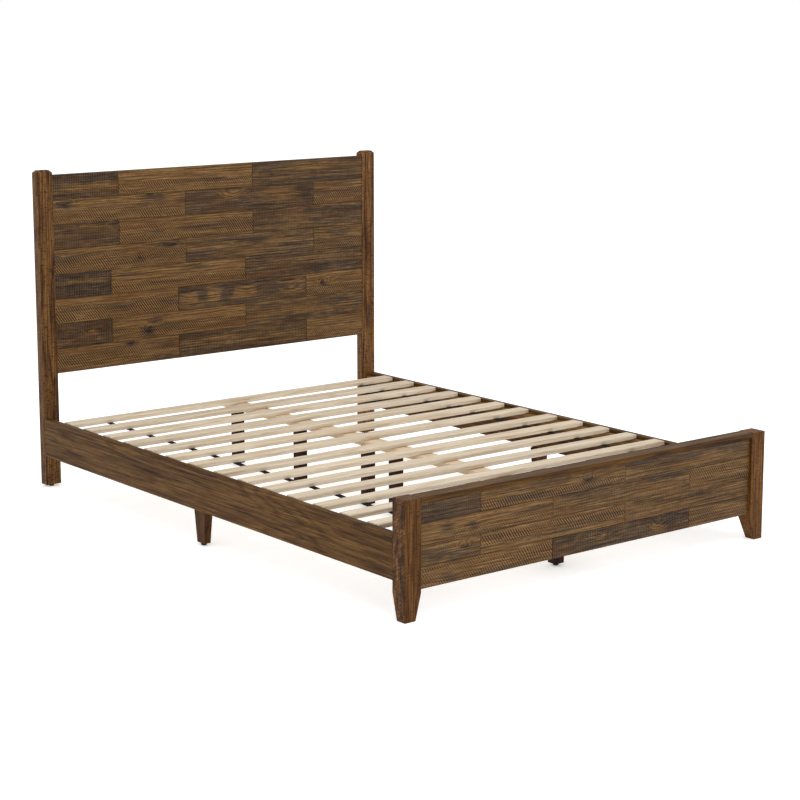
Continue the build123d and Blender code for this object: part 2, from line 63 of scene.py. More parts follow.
# ------------------------------------------------------------------ shader helper
class Graph:
    """Builds one node material. Its node methods return the new node's output socket."""

    def __init__(self, name):
        self.material = bpy.data.materials.new(name)
        self.material.use_nodes = True
        self.tree = self.material.node_tree
        self.tree.nodes.clear()
        self.shader = self.tree.nodes.new("ShaderNodeBsdfPrincipled")
        output = self.tree.nodes.new("ShaderNodeOutputMaterial")
        self.tree.links.new(self.shader.outputs["BSDF"], output.inputs["Surface"])

    def feed(self, socket, value):
        """Link another node's output to a socket, or set a plain value on it."""
        if isinstance(value, bpy.types.NodeSocket):
            self.tree.links.new(value, socket)
        else:
            socket.default_value = value

    def coords(self):
        return self.tree.nodes.new("ShaderNodeTexCoord").outputs["Object"]

    def attribute(self, name, output="Fac"):
        node = self.tree.nodes.new("ShaderNodeAttribute")
        node.attribute_name = name
        return node.outputs[output]

    def math(self, operation, *values, clamp=False):
        node = self.tree.nodes.new("ShaderNodeMath")
        node.operation = operation
        node.use_clamp = clamp
        for socket, value in zip(node.inputs, values):
            self.feed(socket, value)
        return node.outputs[0]

    def vector(self, operation, *values):
        node = self.tree.nodes.new("ShaderNodeVectorMath")
        node.operation = operation
        for socket, value in zip(node.inputs, values):
            self.feed(socket, value)
        return node.outputs["Vector"]

    def split(self, vector):
        """The x, y and z sockets of a vector."""
        node = self.tree.nodes.new("ShaderNodeSeparateXYZ")
        self.feed(node.inputs[0], vector)
        return node.outputs

    def join(self, x, y, z):
        node = self.tree.nodes.new("ShaderNodeCombineXYZ")
        for socket, value in zip(node.inputs, (x, y, z)):
            self.feed(socket, value)
        return node.outputs[0]

    def noise(self, place, scale, detail=3.0, roughness=0.5, distortion=0.0):
        """Noise stretched by a scale per axis, in features per metre."""
        node = self.tree.nodes.new("ShaderNodeTexNoise")
        self.feed(node.inputs["Vector"], self.vector("MULTIPLY", place, scale))
        node.inputs["Scale"].default_value = 1.0
        node.inputs["Detail"].default_value = detail
        node.inputs["Roughness"].default_value = roughness
        node.inputs["Distortion"].default_value = distortion
        return node.outputs[0]

    def smooth(self, value, low, high, start=0.0, end=1.0):
        node = self.tree.nodes.new("ShaderNodeMapRange")
        node.interpolation_type = "SMOOTHSTEP"
        for key, item in (("Value", value), ("From Min", low), ("From Max", high),
                          ("To Min", start), ("To Max", end)):
            self.feed(node.inputs[key], item)
        return node.outputs[0]

    def ramp(self, value, stops):
        node = self.tree.nodes.new("ShaderNodeValToRGB")
        self.feed(node.inputs[0], value)
        ramp = node.color_ramp
        while len(ramp.elements) < len(stops):
            ramp.elements.new(0.5)
        for element, (position, colour) in zip(ramp.elements, stops):
            element.position = position
            element.color = colour
        return node.outputs[0]

    def mix(self, factor, first, second, blend="MIX"):
        node = self.tree.nodes.new("ShaderNodeMix")
        node.data_type = "RGBA"
        node.blend_type = blend
        self.feed(node.inputs[0], factor)
        self.feed(node.inputs[6], first)
        self.feed(node.inputs[7], second)
        return node.outputs[2]

    def stripes(self, place, period, wobble):
        """0 to 1 stripes along a coordinate in metres, pushed about by a wobble in radians."""
        turns = self.math("MULTIPLY", place, 2 * math.pi / period)
        wave = self.math("SINE", self.math("ADD", turns, wobble))
        return self.math("MULTIPLY_ADD", wave, 0.5, 0.5)

    def finish(self, colour, roughness, height, bump=0.3, depth=0.0005, specular=0.12):
        """Link colour, roughness and a bump height to the shader; return the material."""
        self.feed(self.shader.inputs["Base Color"], colour)
        self.feed(self.shader.inputs["Roughness"], roughness)
        self.shader.inputs["Specular IOR Level"].default_value = specular
        node = self.tree.nodes.new("ShaderNodeBump")
        node.inputs["Strength"].default_value = bump
        node.inputs["Distance"].default_value = depth
        self.feed(node.inputs["Height"], height)
        self.feed(self.shader.inputs["Normal"], node.outputs[0])
        return self.material


# ------------------------------------------------------------------ wood of the panels
def plank_material():
    """Reclaimed-look board, from golden brown to dark grey brown, with saw marks and knots.

    The boards' meshes carry what differs from board to board: tone (0 golden, 1 dark), diag and
    kerf (strength of slanted and upright saw marks), phase and figure (place and strength of the
    growth rings), stain (knots and dirty edges), and board_shift, an offset that gives each board
    its own grain.
    """
    g = Graph("plank_wood")
    place = g.coords()
    own = g.vector("ADD", place, g.attribute("board_shift", "Vector"))
    streak = g.noise(own, (3.2, 20.0, 62.0), 4.0, 0.6)
    fibre = g.noise(own, (7.0, 160.0, 300.0), 5.0, 0.7)
    fine = g.noise(own, (55.0, 700.0, 1100.0), 2.0, 0.6)
    mottle = g.noise(own, (24.0, 24.0, 70.0), 4.0, 0.65)
    pores = g.smooth(g.noise(own, (38.0, 300.0, 520.0), 3.0, 0.65), 0.56, 0.70)

    ring_turn = g.math("ADD", g.attribute("phase"), g.math("MULTIPLY", fibre, 0.45))
    ring_wave = g.math("SINE", g.math("MULTIPLY", ring_turn, 2 * math.pi))
    ring = g.math("MULTIPLY", g.smooth(ring_wave, -0.2, 1.0, -0.12, 0.22), g.attribute("figure"))

    shade = g.math("MULTIPLY_ADD", fibre, 1.7, -0.36)
    shade = g.math("ADD", shade, ring)
    shade = g.math("ADD", shade, g.math("MULTIPLY_ADD", fine, 0.55, -0.27))
    golden = g.ramp(shade, [
        (0.12, seen(168, 131, 88)), (0.36, seen(131, 101, 66)),
        (0.58, seen(104, 78, 51)), (0.86, seen(55, 41, 30))])
    grey = g.ramp(shade, [
        (0.12, seen(124, 103, 82)), (0.36, seen(95, 78, 62)),
        (0.58, seen(72, 59, 48)), (0.86, seen(41, 35, 30))])

    drift = g.math("MULTIPLY_ADD", streak, 1.0, -0.5)
    tone = g.math("ADD", g.attribute("tone"), g.math("MULTIPLY_ADD", mottle, 1.1, -0.55))
    tone = g.smooth(g.math("ADD", tone, drift), 0.0, 1.0)
    colour = g.mix(tone, golden, grey)
    redden = g.smooth(g.noise(own, (4.0, 8.0, 20.0), 3.0), 0.48, 0.68, 0.0, 0.28)
    colour = g.mix(redden, colour, seen(104, 68, 42))
    colour = g.mix(g.math("MULTIPLY", pores, 0.55), colour, seen(44, 33, 25))

    x, _, z = g.split(place)
    wobble = g.math("MULTIPLY", g.noise(own, (7.0, 20.0, 11.0), 2.0), 13.0)
    across = g.math("ADD", g.math("MULTIPLY", x, 0.82), g.math("MULTIPLY", z, 0.57))
    wave = g.stripes(across, 7.6 * MM, wobble)
    broken = g.smooth(g.noise(own, (40.0, 30.0, 90.0), 3.0), 0.32, 0.52, 0.25, 1.0)
    pressed = g.smooth(g.noise(own, (7.0, 10.0, 22.0), 2.0), 0.34, 0.58, 0.45, 1.3)
    strength = g.math("MULTIPLY", g.math("MULTIPLY", broken, pressed), g.attribute("diag"))
    slanted = g.math("MULTIPLY", g.smooth(wave, 0.42, 0.85), strength)
    # painted highlight: the crests between the slanted saw marks are lightened as if they caught the
    # light
    painted_crest_highlight = g.math("MULTIPLY", g.smooth(wave, 0.40, 0.05), strength)
    upright = g.smooth(g.stripes(x, 6.8 * MM, g.math("MULTIPLY", wobble, 0.35)), 0.35, 0.85)
    patchy = g.smooth(g.noise(own, (30.0, 40.0, 60.0), 3.0), 0.34, 0.54, 0.1, 1.0)
    upright = g.math("MULTIPLY", g.math("MULTIPLY", upright, patchy), g.attribute("kerf"))
    # the painted highlight is laid on the saw marks' crests here
    colour = g.mix(g.math("MULTIPLY", painted_crest_highlight, 0.36), colour, seen(162, 124, 78))
    colour = g.mix(g.math("MULTIPLY", slanted, 0.9, clamp=True), colour, seen(43, 32, 24))
    colour = g.mix(g.math("MULTIPLY", upright, 0.8, clamp=True), colour, seen(33, 27, 23))
    colour = g.mix(g.attribute("stain"), colour, seen(38, 27, 20))

    groove = g.math("ADD", g.math("MULTIPLY", slanted, -0.8), g.math("MULTIPLY", upright, -0.7))
    relief = g.math("MULTIPLY_ADD", fibre, -0.5, g.math("MULTIPLY", fine, -0.35))
    height = g.math("ADD", groove, relief)
    roughness = g.math("MULTIPLY_ADD", shade, 0.22, 0.46)
    return g.finish(colour, roughness, height, 0.5, 0.0008)


# ------------------------------------------------------------------ wood of the plain pieces
def grain_material(name, along, stops, streaks=0.5, contrast=1.0, knots=0.0,
                   base_roughness=0.48, bump=0.25, marks=0.0, lines=0.0, side_wear=0.0,
                   piece_step=None, tints=(0.0, 0.0)):
    """Straight-grained wood in object space, for pieces whose grain runs along one axis.

    stops are (position, colour) of the grain ramp, from the lightest wood to the darkest. streaks
    and contrast are the strength of broad streaks and of fine fibres. marks is the strength of
    short dark scratches across the grain, lines that of long straight grain lines, knots that of
    small dark knots, and side_wear that of rough patches on the bed's outer side faces.
    piece_step (axis, spacing) makes repeated pieces, such as slats, differ from one another, and
    tints is how far they vary in lightness. Without piece_step, tints are the change on the left
    and on the right of the bed.
    """
    g = Graph(name)
    place = g.coords()
    x, y, z = g.split(place)
    axes = {"X": (x, y, z), "Y": (y, x, z), "Z": (z, x, y)}[along]
    own = g.join(*axes)
    tint = g.smooth(x, -0.1, 0.1, 0.3, 0.7)
    if piece_step:
        axis, spacing = piece_step
        number = g.math("FLOOR", g.math("DIVIDE", {"X": x, "Y": y, "Z": z}[axis], spacing))
        own = g.vector("ADD", own, g.join(g.math("MULTIPLY", number, 3.71), 0.0,
                                          g.math("MULTIPLY", number, 0.57)))
        tint = g.noise(g.join(number, 0.0, 0.0), (1.37, 1.0, 1.0), 0.0)
    streak = g.noise(own, (1.5, 34.0, 34.0), 4.0, 0.6)
    fibre = g.noise(own, (6.0, 230.0, 230.0), 5.0, 0.68)
    fine = g.noise(own, (34.0, 900.0, 900.0), 2.0, 0.6)
    warp = g.noise(own, (1.1, 12.0, 12.0), 2.0)
    bands = g.math("SINE", g.math("MULTIPLY_ADD", warp, 60.0, g.math("MULTIPLY", fibre, 3.0)))
    bands = g.smooth(bands, -0.2, 1.0)
    shade = g.math("MULTIPLY_ADD", g.math("SUBTRACT", streak, 0.5), streaks * 1.6, 0.5)
    shade = g.math("ADD", shade, g.math("MULTIPLY", g.math("SUBTRACT", fibre, 0.5), 1.3 * contrast))
    shade = g.math("ADD", shade, g.math("MULTIPLY_ADD", bands, 0.12 * contrast, -0.05 * contrast))
    shade = g.math("ADD", shade, g.math("MULTIPLY_ADD", fine, 0.5 * contrast, -0.25 * contrast))
    if lines:
        line = g.noise(own, (1.6, 120.0, 120.0), 4.0, 0.62)
        shade = g.math("MULTIPLY_ADD", g.math("SUBTRACT", line, 0.5), lines, shade)
    colour = g.ramp(shade, stops)
    height = g.math("MULTIPLY_ADD", fibre, -0.6, g.math("MULTIPLY", fine, -0.4))
    if marks:
        scratch = g.smooth(g.noise(own, (300.0, 60.0, 60.0), 3.0, 0.6), 0.52, 0.68)
        colour = g.mix(g.math("MULTIPLY", scratch, marks), colour, stops[-1][1])
        height = g.math("MULTIPLY_ADD", scratch, -0.5 * marks, height)
    if side_wear:
        # the outer side faces stand at x = 717.5 mm, the footboard's front at y = -1010 mm
        outer = g.smooth(g.math("ABSOLUTE", x), 0.7162, 0.7172, 0.0, side_wear)
        dirt = g.smooth(g.noise(own, (14.0, 50.0, 50.0), 4.0, 0.65), 0.44, 0.62)
        front_strip = g.smooth(y, -0.986, -0.998)
        patches = g.smooth(g.noise(own, (9.0, 30.0, 30.0), 3.0), 0.36, 0.56)
        dirt = g.math("MAXIMUM", dirt, g.math("MULTIPLY", front_strip, patches))
        slope = g.join(g.math("MULTIPLY_ADD", y, 0.6, z), g.math("MULTIPLY_ADD", z, -0.6, y), x)
        chatter = g.smooth(g.noise(slope, (260.0, 55.0, 55.0), 3.0, 0.65), 0.46, 0.62)
        chips = g.math("MULTIPLY", g.math("MULTIPLY", outer, chatter), 0.5)
        colour = g.mix(chips, colour, seen(150, 112, 74))
        colour = g.mix(g.math("MULTIPLY", outer, g.math("MULTIPLY", dirt, 0.8)), colour, stops[-1][1])
        height = g.math("MULTIPLY_ADD", chips, 0.8, height)
    if tints != (0.0, 0.0):
        low, high = tints
        lightness = g.smooth(tint, 0.3, 0.7, 1.0 + low, 1.0 + high)
        colour = g.mix(1.0, colour, g.join(lightness, lightness, lightness), "MULTIPLY")
    if knots:
        cells = g.tree.nodes.new("ShaderNodeTexVoronoi")
        g.feed(cells.inputs["Vector"], g.vector("MULTIPLY", own, (5.0, 11.0, 11.0)))
        cells.inputs["Scale"].default_value = 1.0
        core = g.smooth(cells.outputs["Distance"], 0.05, 0.17, 1.0, 0.0)
        colour = g.mix(g.math("MULTIPLY", core, knots), colour, stops[-1][1])
    roughness = g.math("MULTIPLY_ADD", shade, 0.18, base_roughness)
    return g.finish(colour, roughness, height, bump, 0.0005)


def webbing_material():
    """Black woven strap: ribs across, a finer thread along, slightly worn to grey."""
    g = Graph("webbing")
    place = g.coords()
    x, y, _ = g.split(place)
    ribs = g.stripes(y, 1.6 * MM, 0.0)
    threads = g.stripes(x, 1.1 * MM, 0.0)
    weave = g.math("MULTIPLY_ADD", ribs, 0.6, g.math("MULTIPLY", threads, 0.4))
    wear = g.noise(place, (60.0, 60.0, 60.0), 3.0)
    shade = g.math("MULTIPLY_ADD", wear, 0.6, g.math("MULTIPLY", weave, 0.4))
    colour = g.ramp(shade, [(0.2, srgb(12, 11, 11)), (0.6, srgb(24, 22, 21)), (0.9, srgb(46, 43, 40))])
    roughness = g.math("MULTIPLY_ADD", weave, 0.2, 0.75)
    return g.finish(colour, roughness, weave, 0.5, 0.0004, specular=0.1)


def plastic_material():
    """Moulded black plastic with a faint mould texture."""
    g = Graph("leveller_plastic")
    place = g.coords()
    grain = g.noise(place, (900.0, 900.0, 900.0), 2.0)
    scuff = g.noise(place, (140.0, 140.0, 40.0), 3.0)
    colour = g.ramp(scuff, [(0.3, srgb(20, 20, 21)), (0.7, srgb(38, 37, 37))])
    roughness = g.math("MULTIPLY_ADD", scuff, 0.3, 0.38)
    return g.finish(colour, roughness, grain, 0.2, 0.0002)


def metal_material(name, dark, light, metallic, base_roughness):
    """Metal with fine scratches and slightly uneven plating or paint."""
    g = Graph(name)
    place = g.coords()
    cloud = g.noise(place, (90.0, 90.0, 90.0), 3.0)
    scratch = g.noise(place, (60.0, 1400.0, 60.0), 2.0)
    colour = g.ramp(cloud, [(0.3, dark), (0.7, light)])
    roughness = g.math("MULTIPLY_ADD", scratch, 0.25, base_roughness)
    g.shader.inputs["Metallic"].default_value = metallic
    return g.finish(colour, roughness, scratch, 0.15, 0.0002)


plank_wood = plank_material()
post_wood = grain_material("post_wood", "Z", [
    (0.12, seen(138, 101, 62)), (0.38, seen(108, 77, 48)),
    (0.60, seen(86, 61, 41)), (0.86, seen(48, 35, 26))],
    streaks=0.4, contrast=1.7, marks=0.85, side_wear=0.5, tints=(-0.08, 0.16))
footboard_leg_wood = grain_material("footboard_leg_wood", "Z", [
    (0.12, seen(130, 91, 53)), (0.38, seen(101, 69, 41)),
    (0.62, seen(80, 55, 34)), (0.90, seen(46, 32, 22))],
    streaks=0.3, contrast=1.3, marks=0.6, lines=0.2, side_wear=1.0, tints=(0.0, 0.2))
cap_wood = grain_material("cap_wood", "X", [
    (0.12, seen(122, 87, 47)), (0.38, seen(95, 67, 35)),
    (0.62, seen(75, 53, 29)), (0.92, seen(45, 31, 20))],
    streaks=0.4, contrast=1.1, marks=0.2, lines=0.8)
rail_wood = grain_material("rail_wood", "Y", [
    (0.12, seen(120, 88, 51)), (0.38, seen(96, 69, 40)),
    (0.62, seen(76, 54, 32)), (0.90, seen(46, 33, 22))],
    streaks=0.25, contrast=1.3, marks=0.2, lines=1.1)
rail_leg_wood = grain_material("rail_leg_wood", "Z", [
    (0.12, seen(112, 80, 47)), (0.38, seen(84, 58, 34)),
    (0.62, seen(66, 45, 28)), (0.90, seen(40, 28, 20))], streaks=0.6, contrast=1.2, marks=0.5)
plain_wood = grain_material("hidden_frame_wood", "Z", [
    (0.10, seen(150, 120, 84)), (0.45, seen(128, 98, 66)),
    (0.75, seen(104, 77, 51)), (0.95, seen(78, 57, 40))], streaks=0.5, knots=0.5)
cleat_wood = grain_material("cleat_wood", "Y", [
    (0.10, seen(146, 114, 76)), (0.45, seen(124, 94, 60)),
    (0.75, seen(98, 72, 46)), (0.95, seen(72, 52, 36))], streaks=0.5)
slat_wood = grain_material("slat_wood", "X", [
    (0.10, seen(234, 221, 201)), (0.40, seen(221, 205, 182)),
    (0.68, seen(201, 181, 154)), (1.0, seen(158, 133, 104))],
    streaks=0.4, contrast=1.1, knots=0.35, base_roughness=0.58, bump=0.18,
    piece_step=("Y", SLAT_PITCH * MM), tints=(-0.08, 0.02))
beam_wood = grain_material("beam_wood", "Y", [
    (0.10, seen(232, 212, 186)), (0.45, seen(218, 194, 164)),
    (0.75, seen(198, 170, 136)), (1.0, seen(152, 122, 90))],
    streaks=0.4, contrast=0.8, knots=0.5, base_roughness=0.58, bump=0.18)
leg_wood = grain_material("support_leg_wood", "Z", [
    (0.10, seen(78, 52, 37)), (0.40, seen(58, 38, 28)),
    (0.70, seen(46, 30, 23)), (0.95, seen(34, 24, 20))], streaks=0.5)
webbing = webbing_material()
plastic = plastic_material()
black_steel = metal_material("bracket_steel", srgb(24, 24, 25), srgb(42, 42, 42), 0.2, 0.38)
zinc = metal_material("fastener_steel", srgb(150, 148, 142), srgb(190, 188, 182), 1.0, 0.28)

NODE_MATERIALS = {              # by the start of the node's name
    "headboard_post": post_wood, "footboard_leg": footboard_leg_wood, "footboard_cap_rail": cap_wood,
    "headboard_battens": plain_wood, "footboard_battens": plain_wood, "side_rail": rail_wood,
    "slat_cleat": cleat_wood, "slat_head": slat_wood, "slat_foot": slat_wood,
    "centre_beam_head": beam_wood, "centre_beam_foot": beam_wood, "centre_legs": leg_wood,
    "rail_leg": rail_leg_wood, "centre_leveller": plastic, "rail_leveller": plastic,
    "post_leveller": plastic, "rail_corner_brackets": black_steel,
    "centre_beam_joining_plate": zinc, "bracket_bolts": black_steel, "wood_screws": zinc,
    "leg_hanger_bolts": zinc,
}


def dress_cad_nodes():
    """Give every CAD node that stays its procedural material."""
    for name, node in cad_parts.items():
        for prefix, material in NODE_MATERIALS.items():
            if name.startswith(prefix):
                node.data.materials.clear()
                node.data.materials.append(material)


dress_cad_nodes()

# ------------------------------------------------------------------ boards of the panels
PLANK_LENGTH = 562.0
ODD_ROW_JOINT, EVEN_ROW_JOINT = -438.0, -165.0      # the first butt joint of a row
UPPER_ROWS_SHIFT = 36.0                             # of the joints in the headboard's upper rows
PANEL_HALF_SPAN = 659.5 + 7.8                       # the boards' ends sit in housings
BUTT_GAP = 0.4
ROW_GAP = 0.3
TONGUE_HEIGHT = 7.0
TONGUE_THICKNESS = 6.0
TONGUE_CLEARANCE = 0.25
OVAL_CHANGE = -0.45             # a patch lightened this much or more, and shorter than
OVAL_HALF_LENGTH = 70           # this, holds an oval figure of growth rings


class Board:
    """How one board looks. Places are millimetres across (x) and up (z) in the bed's frame.

    tone runs from 0, golden, to 1, dark. diag and kerf are the strength of slanted and of upright
    saw marks, and hatch is the height range in which the slanted ones show. patches are
    (x, z, half length, half height, change of tone); knots are (x, z, half length, half height).
    """

    def __init__(self, tone, diag=0.0, hatch=None, kerf=0.0, patches=(), knots=()):
        self.tone = tone
        self.diag = diag
        self.hatch = hatch
        self.kerf = kerf
        self.patches = patches
        self.knots = knots


HEADBOARD = [
    # row 1, the top row: left board, middle board, right board
    [Board(0.70, kerf=0.9, patches=[
        (-560, 1062, 150, 14, 0.25), (-500, 1030, 150, 12, -0.55), (-570, 1006, 70, 9, 0.30)]),
     Board(0.10, diag=0.85, hatch=(985, 1034), patches=[
         (-20, 1023, 190, 8, 0.55), (-200, 1060, 120, 8, -0.10), (-390, 1068, 12, 12, 0.2)]),
     Board(0.58, kerf=0.35, patches=[
         (225, 1064, 75, 11, 0.45), (400, 1052, 110, 14, -0.35), (530, 1000, 130, 8, 0.60),
         (590, 1064, 60, 9, 0.35), (240, 1003, 60, 6, 0.4)])],
    # row 2
    [Board(0.26, diag=0.85, hatch=(900, 958), patches=[
        (-620, 972, 34, 9, 0.95), (-250, 976, 46, 13, 0.55), (-145, 957, 26, 9, 0.6),
        (-470, 978, 130, 7, -0.25), (-600, 945, 60, 12, 0.15)],
        knots=[(-622, 973, 20, 6), (-272, 990, 20, 4)]),
     Board(0.66, kerf=0.45, patches=[
         (-75, 962, 60, 22, 0.30), (70, 966, 38, 13, -0.65), (20, 930, 110, 7, 0.45),
         (280, 962, 80, 20, -0.30), (376, 976, 13, 12, 0.4), (402, 946, 17, 26, 0.65),
         (424, 922, 18, 9, 0.6), (230, 935, 130, 4, -0.35), (150, 922, 100, 5, 0.4)]),
     Board(0.32, diag=0.95, hatch=(900, 962), patches=[
         (476, 948, 34, 12, 0.70), (590, 944, 62, 9, 0.65), (540, 972, 60, 4, 0.5)])],
    # row 3
    [Board(0.66, kerf=0.75, patches=[
        (-420, 893, 22, 12, 0.35), (-500, 893, 60, 7, -0.45), (-515, 858, 36, 12, 0.35),
        (-600, 840, 60, 10, 0.1)]),
     Board(0.20, diag=1.0, hatch=(826, 888), patches=[
         (-190, 868, 36, 10, -0.30), (-250, 856, 34, 7, 0.75), (10, 862, 170, 11, 0.60),
         (-60, 826, 120, 5, 0.5), (145, 858, 22, 14, 0.3)]),
     Board(0.58, kerf=0.55, patches=[
         (520, 888, 120, 6, 0.50), (628, 884, 32, 11, 0.55), (460, 898, 150, 3, -0.45),
         (230, 880, 60, 18, 0.2), (330, 835, 110, 7, -0.2)])],
    # row 4
    [Board(0.36, diag=0.90, hatch=(735, 794), patches=[
        (-470, 812, 170, 5, -0.35), (-600, 782, 52, 15, 0.50), (-505, 780, 52, 13, -0.35),
        (-205, 804, 62, 8, 0.60), (-325, 762, 26, 14, 0.45), (-650, 792, 16, 10, 0.5)],
        knots=[(-190, 805, 30, 4), (-322, 768, 12, 6)]),
     Board(0.48, kerf=0.25, patches=[
         (-85, 757, 50, 11, 0.55), (60, 803, 170, 4, 0.55), (170, 794, 70, 9, 0.55),
         (372, 797, 66, 6, 0.70), (260, 788, 52, 9, -0.40), (330, 760, 70, 18, 0.20),
         (60, 780, 90, 8, -0.2), (-60, 740, 120, 4, 0.3)]),
     Board(0.46, diag=0.70, hatch=(735, 776), patches=[
         (540, 797, 66, 9, 0.50), (480, 790, 40, 6, -0.2), (620, 785, 40, 6, -0.3)])],
    # row 5
    [Board(0.90, kerf=1.0, patches=[
        (-540, 705, 110, 9, -0.55), (-545, 676, 110, 12, 0.35), (-600, 727, 60, 6, 0.1)]),
     Board(0.16, diag=0.85, hatch=(645, 690), patches=[
         (-375, 712, 46, 8, 0.45), (-95, 718, 46, 10, 0.35), (-190, 673, 110, 7, 0.5),
         (60, 700, 70, 14, -0.1)]),
     Board(0.62, kerf=0.55, patches=[
         (540, 673, 150, 8, 0.55), (470, 712, 150, 8, -0.15), (450, 692, 150, 4, -0.30),
         (180, 722, 50, 8, 0.1)])],
    # row 6
    [Board(0.14, diag=0.95, hatch=(566, 626), patches=[
        (-600, 606, 62, 15, 0.35), (-500, 608, 52, 10, 0.30), (-385, 602, 66, 14, 0.60),
        (-300, 600, 60, 6, -0.35), (-210, 602, 52, 12, 0.50), (-560, 640, 110, 5, -0.25)]),
     Board(0.60, kerf=0.35, patches=[
         (-142, 638, 40, 11, 0.60), (-112, 606, 40, 14, -0.60), (-60, 616, 18, 22, 0.60),
         (-10, 606, 30, 20, -0.55), (44, 612, 22, 28, 0.70), (126, 610, 56, 17, -0.80),
         (232, 612, 66, 18, 0.70), (320, 632, 66, 7, -0.60), (335, 594, 56, 13, -0.50),
         (130, 640, 110, 5, 0.5), (130, 574, 90, 6, 0.4)]),
     Board(0.27, diag=0.8, hatch=(566, 596), patches=[
         (480, 606, 22, 8, 0.75), (600, 630, 60, 10, -0.15)], knots=[(478, 608, 16, 7)])],
    # row 7
    [Board(0.80, kerf=0.9, patches=[
        (-515, 524, 46, 8, -0.65), (-520, 549, 26, 8, 0.30), (-478, 528, 24, 16, 0.40),
        (-600, 505, 60, 12, -0.15)]),
     Board(0.16, diag=0.85, hatch=(488, 532), patches=[
         (-292, 506, 26, 19, 0.85), (-258, 542, 30, 8, 0.70), (-205, 516, 52, 13, 0.55),
         (-380, 500, 30, 8, -0.2), (60, 500, 70, 14, 0.2)], knots=[(-290, 506, 14, 10)]),
     Board(0.48, kerf=0.5, patches=[
         (420, 492, 160, 6, 0.55), (400, 560, 260, 3, -0.5), (540, 540, 90, 12, 0.25),
         (250, 545, 90, 10, 0.1), (300, 515, 90, 8, -0.15)])],
    # row 8, the bottom row
    [Board(0.26, diag=0.70, hatch=(400, 458), patches=[
        (-590, 471, 70, 4, -0.40), (-352, 468, 22, 9, 0.6), (-240, 452, 66, 10, 0.45),
        (-225, 404, 66, 7, 0.65), (-610, 430, 40, 14, 0.2)], knots=[(-358, 469, 13, 6)]),
     Board(0.58, kerf=0.7, patches=[
         (30, 408, 150, 8, 0.55), (210, 432, 90, 9, -0.35), (0, 448, 120, 8, -0.3),
         (0, 472, 120, 5, 0.3)]),
     Board(0.16, diag=0.45, hatch=(393, 440), patches=[
         (520, 462, 100, 8, -0.10), (470, 410, 60, 8, 0.2)])],
]

FOOTBOARD = [
    [Board(0.82, kerf=0.3, patches=[(-560, 276, 100, 6, 0.25), (-600, 312, 60, 8, 0.1)]),
     Board(0.34, diag=0.75, hatch=(268, 292), patches=[
         (-330, 284, 56, 9, 0.50), (-225, 282, 66, 8, 0.50), (-170, 311, 76, 8, 0.45),
         (-30, 294, 24, 14, 0.50), (-40, 272, 120, 3, 0.5)], knots=[(-32, 297, 14, 7)]),
     Board(0.45, diag=0.25, hatch=(270, 300), patches=[
         (190, 318, 110, 9, 0.50), (360, 306, 90, 8, 0.45), (560, 320, 90, 8, 0.6),
         (480, 288, 110, 9, -0.35), (600, 300, 60, 7, 0.3)])],
    [Board(0.28, diag=0.40, hatch=(205, 235), patches=[
        (-562, 240, 26, 14, 0.50), (-466, 232, 24, 13, 0.55), (-215, 243, 66, 5, 0.60),
        (-500, 258, 130, 5, -0.2), (-300, 222, 110, 8, -0.2)]),
     Board(0.38, kerf=0.5, patches=[
         (-80, 262, 90, 5, 0.55), (290, 258, 95, 9, 0.60), (60, 232, 110, 9, 0.1),
         (230, 228, 110, 8, -0.2)]),
     Board(0.22, diag=0.95, hatch=(208, 262), patches=[
         (565, 212, 95, 5, 0.75), (520, 245, 90, 8, -0.2)])],
    [Board(0.45, kerf=0.2, patches=[
        (-600, 176, 52, 12, 0.45), (-560, 158, 100, 3, 0.5), (-540, 190, 70, 5, -0.3)],
        knots=[(-498, 178, 13, 7)]),
     Board(0.24, diag=0.85, hatch=(164, 196), patches=[
         (-390, 186, 46, 9, 0.45), (30, 178, 110, 7, 0.70), (-160, 160, 270, 2.5, 0.6),
         (-160, 168, 240, 2, 0.35), (0, 152, 120, 4, -0.3), (-250, 190, 60, 8, 0.1)]),
     Board(0.34, kerf=0.55, patches=[
         (430, 186, 56, 10, 0.40), (230, 196, 110, 5, 0.25), (560, 160, 110, 4, 0.45)])],
    [Board(0.24, diag=0.65, hatch=(84, 140), patches=[
        (-552, 100, 30, 12, 0.60), (-370, 90, 70, 5, 0.55), (-330, 128, 130, 6, -0.15)]),
     Board(0.70, kerf=0.8, patches=[
         (16, 117, 30, 7, -0.50), (262, 110, 30, 15, -0.65), (330, 122, 62, 20, 0.45),
         (-120, 105, 30, 20, -0.15), (20, 134, 60, 4, 0.3)]),
     Board(0.42, diag=0.45, hatch=(84, 140), patches=[
         (560, 128, 70, 3, -0.40), (500, 108, 90, 9, 0.25), (600, 140, 60, 4, 0.4)])],
]


def bell(place, patch):
    """Soft-edged patch: 1 in its middle, falling off to 0 outside; the edge is made irregular."""
    x, z = place
    middle_x, middle_z, half_length, half_height = patch[:4]
    shove = noise.noise(Vector((x / 34.0, z / 11.0, middle_x / 50.0)))
    shift = noise.noise(Vector((x / 60.0, z / 20.0, middle_z / 30.0 + 9.0)))
    across = (x - middle_x + 16.0 * shift) / half_length
    up = (z - middle_z + 5.0 * shove) / half_height
    return math.exp(-(across * across + up * up) ** 1.3)


